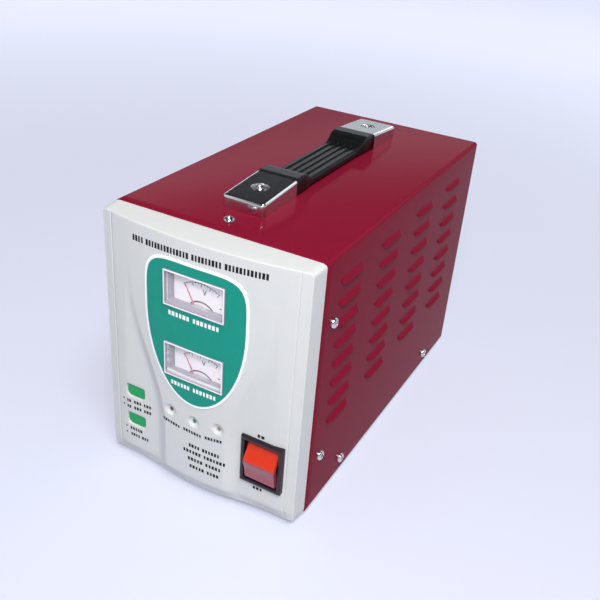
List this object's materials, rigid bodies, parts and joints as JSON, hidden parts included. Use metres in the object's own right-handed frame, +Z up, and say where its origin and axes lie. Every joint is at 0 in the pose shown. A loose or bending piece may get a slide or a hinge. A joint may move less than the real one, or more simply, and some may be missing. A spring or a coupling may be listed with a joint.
{
  "type": "automatic voltage stabilizer",
  "caption": "Relay voltage stabilizer: louvred steel case, moulded front with two pointer meters, rocker switch, push buttons, lamps and a lifting carrying strap.",
  "frame": {"origin": "bottom centre of the whole, on the surface the feet stand on", "axes": "+Z up, -Y out of the moulded front, +X to the right as seen from the front"},
  "size_m": [0.1294, 0.2526, 0.1718],
  "materials": {
    "plated_steel": "zinc plated sheet",
    "cover_paint": "glossy dark maroon paint",
    "rear_paint": "fine black powder coat",
    "grey_plastic": "pale grey, satin gloss",
    "teal_panel": "teal green, satin",
    "white_print": "off-white line",
    "meter_plastic": "pale lilac grey",
    "clear_window": "clear",
    "dial_card": "printed dial",
    "dark_plastic": "near black",
    "needle_paint": "red enamel",
    "movement_metal": "plain",
    "switch_plastic": "black",
    "brass": "plain",
    "red_plastic": "red, translucent look",
    "green_plastic": "green",
    "black_plastic": "black",
    "circuit_board": "green board",
    "red_lens": "red lamp, off",
    "green_lens": "green lamp, off",
    "yellow_lens": "yellow lamp, off",
    "strap_rubber": "black, satin",
    "bright_chrome": "plated",
    "screw_steel": "bright zinc",
    "foot_rubber": "black",
    "winding": "taped core with its winding, weighed as iron",
    "pad_rubber": "black",
    "relay_plastic": "blue",
    "capacitor_sleeve": "dark blue sleeve",
    "sink_aluminium": "plain",
    "socket_plastic": "black",
    "gland_rubber": "black"
  },
  "bodies": {
    "case": {"base_chassis": "plated_steel", "front_plate": "plated_steel", "ring_dish": "plated_steel", "cover": "cover_paint", "rear_panel": "rear_paint", "front_bezel": "grey_plastic", "front_panel": "teal_panel", "panel_border": "white_print", "upper_meter_case": "meter_plastic", "lower_meter_case": "meter_plastic", "upper_meter_lens": "clear_window", "lower_meter_lens": "clear_window", "upper_meter_dial": "dial_card", "lower_meter_dial": "dial_card", "upper_pivot_cover": "dark_plastic", "lower_pivot_cover": "dark_plastic", "upper_meter_movement": "movement_metal", "lower_meter_movement": "movement_metal", "switch_housing": "switch_plastic", "switch_terminals": "brass", "board_posts": "brass", "button_switches": "black_plastic", "terminal_strip": "black_plastic", "breaker_body": "black_plastic", "button_board": "circuit_board", "lamp_board": "circuit_board", "control_board": "circuit_board", "red_lamp": "red_lens", "green_lamp": "green_lens", "yellow_lamp": "yellow_lens", "strap_front_end": "strap_rubber", "strap_rear_end": "strap_rubber", "front_handle_cap": "bright_chrome", "rear_handle_cap": "bright_chrome", "handle_screws": "screw_steel", "handle_nuts": "screw_steel", "cover_screws": "screw_steel", "frame_screws": "screw_steel", "bezel_screws": "screw_steel", "board_screws": "screw_steel", "foot_screws": "screw_steel", "ring_bolt": "screw_steel", "rubber_feet": "foot_rubber", "transformer_ring": "winding", "ring_pads": "pad_rubber", "relays": "relay_plastic", "board_capacitors": "capacitor_sleeve", "heat_sink": "sink_aluminium", "left_socket": "socket_plastic", "right_socket": "socket_plastic", "cord_gland": "gland_rubber"},
    "rocker": {"power_rocker": "red_plastic"},
    "upper_button": {"range_button": "green_plastic"},
    "lower_button": {"delay_button": "green_plastic"},
    "upper_pointer": {"upper_needle": "needle_paint"},
    "lower_pointer": {"lower_needle": "needle_paint"},
    "strap": {"strap_grip": "strap_rubber"},
    "reset_button": {"breaker_button": "red_plastic"}
  },
  "joints": [
    {"name": "power_rocker_tilt", "type": "hinge", "parent": "case", "child": "rocker", "pos_m": [0.0416, -0.1169, 0.0409], "axis": [1, 0, 0], "range_deg": [0, 20]},
    {"name": "range_button_press", "type": "slide", "parent": "case", "child": "upper_button", "axis": [0, 1, 0], "range_m": [0, 0.0025], "stiffness_N_per_m": 150},
    {"name": "delay_button_press", "type": "slide", "parent": "case", "child": "lower_button", "axis": [0, 1, 0], "range_m": [0, 0.0025], "stiffness_N_per_m": 150},
    {"name": "upper_needle_swing", "type": "hinge", "parent": "case", "child": "upper_pointer", "pos_m": [0, -0.1192, 0.1154], "axis": [0, 1, 0], "range_deg": [0, 54], "stiffness_Nm_per_rad": 0.00005},
    {"name": "lower_needle_swing", "type": "hinge", "parent": "case", "child": "lower_pointer", "pos_m": [0, -0.1192, 0.073], "axis": [0, 1, 0], "range_deg": [0, 54], "stiffness_Nm_per_rad": 0.00005},
    {"name": "strap_lift", "type": "slide", "parent": "case", "child": "strap", "axis": [0, 0, 1], "range_m": [0, 0.018], "stiffness_N_per_m": 300, "deforming": ["strap_front_end", "strap_rear_end"]},
    {"name": "breaker_reset", "type": "slide", "parent": "case", "child": "reset_button", "axis": [0, 1, 0], "range_m": [0, 0.0035]}
  ]
}
